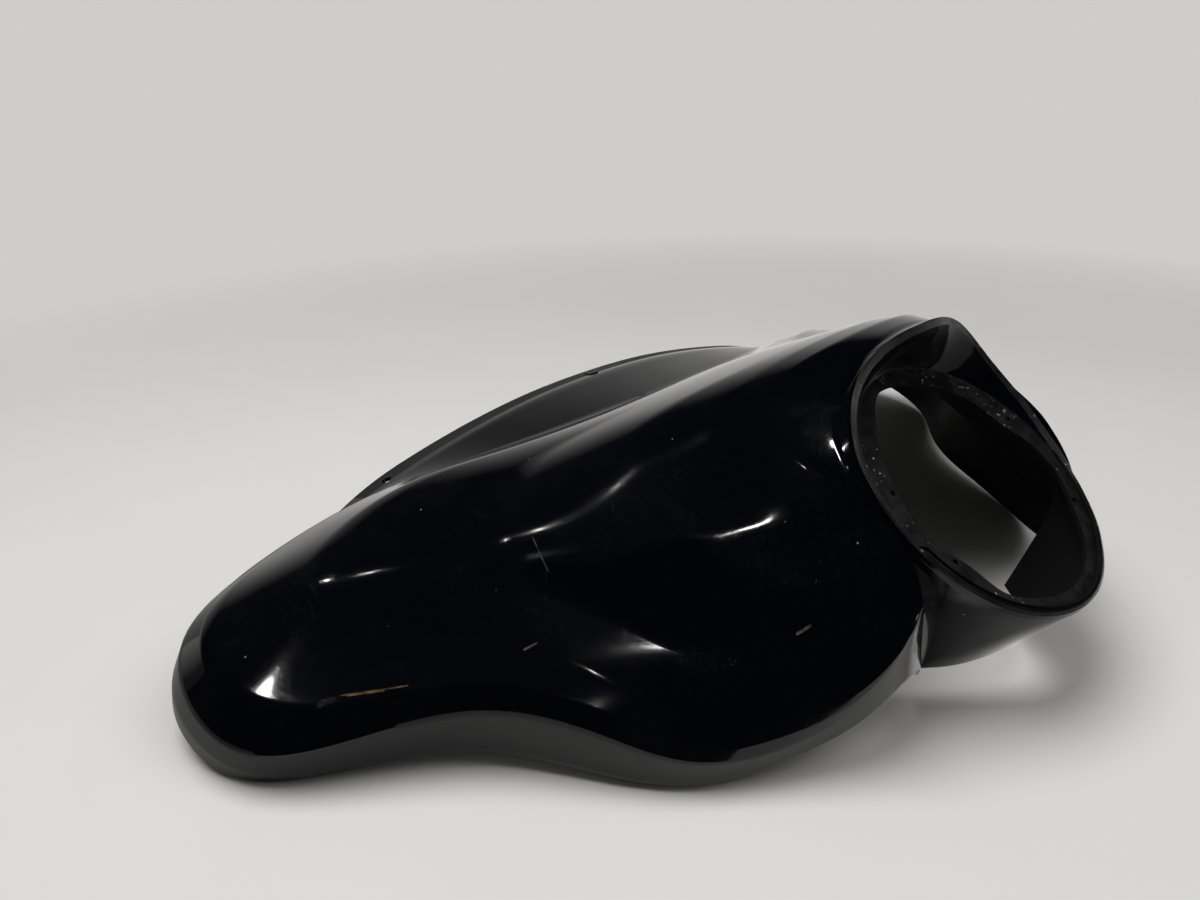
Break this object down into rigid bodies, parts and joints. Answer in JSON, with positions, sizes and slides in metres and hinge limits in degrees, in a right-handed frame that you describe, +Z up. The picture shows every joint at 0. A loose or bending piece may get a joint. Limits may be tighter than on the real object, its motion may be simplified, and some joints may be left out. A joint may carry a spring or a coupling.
{
  "type": "motorcycle front fairing shell",
  "caption": "Gloss black front fairing shell with two swept wings, a hooded opening for a round headlight and a flange for the windshield.",
  "frame": {"origin": "middle of the footprint, on the ground, with the shell lying on the rim of its skirt", "axes": "+X to the nose, +Y to the rider's left, +Z up"},
  "size_m": [0.4972, 0.928, 0.252],
  "materials": {
    "shell": "gloss black with fine wear",
    "nut": "matte"
  },
  "bodies": {
    "root": {"fairing_shell": "shell", "shield_well_nut": "nut"}
  },
  "joints": []
}
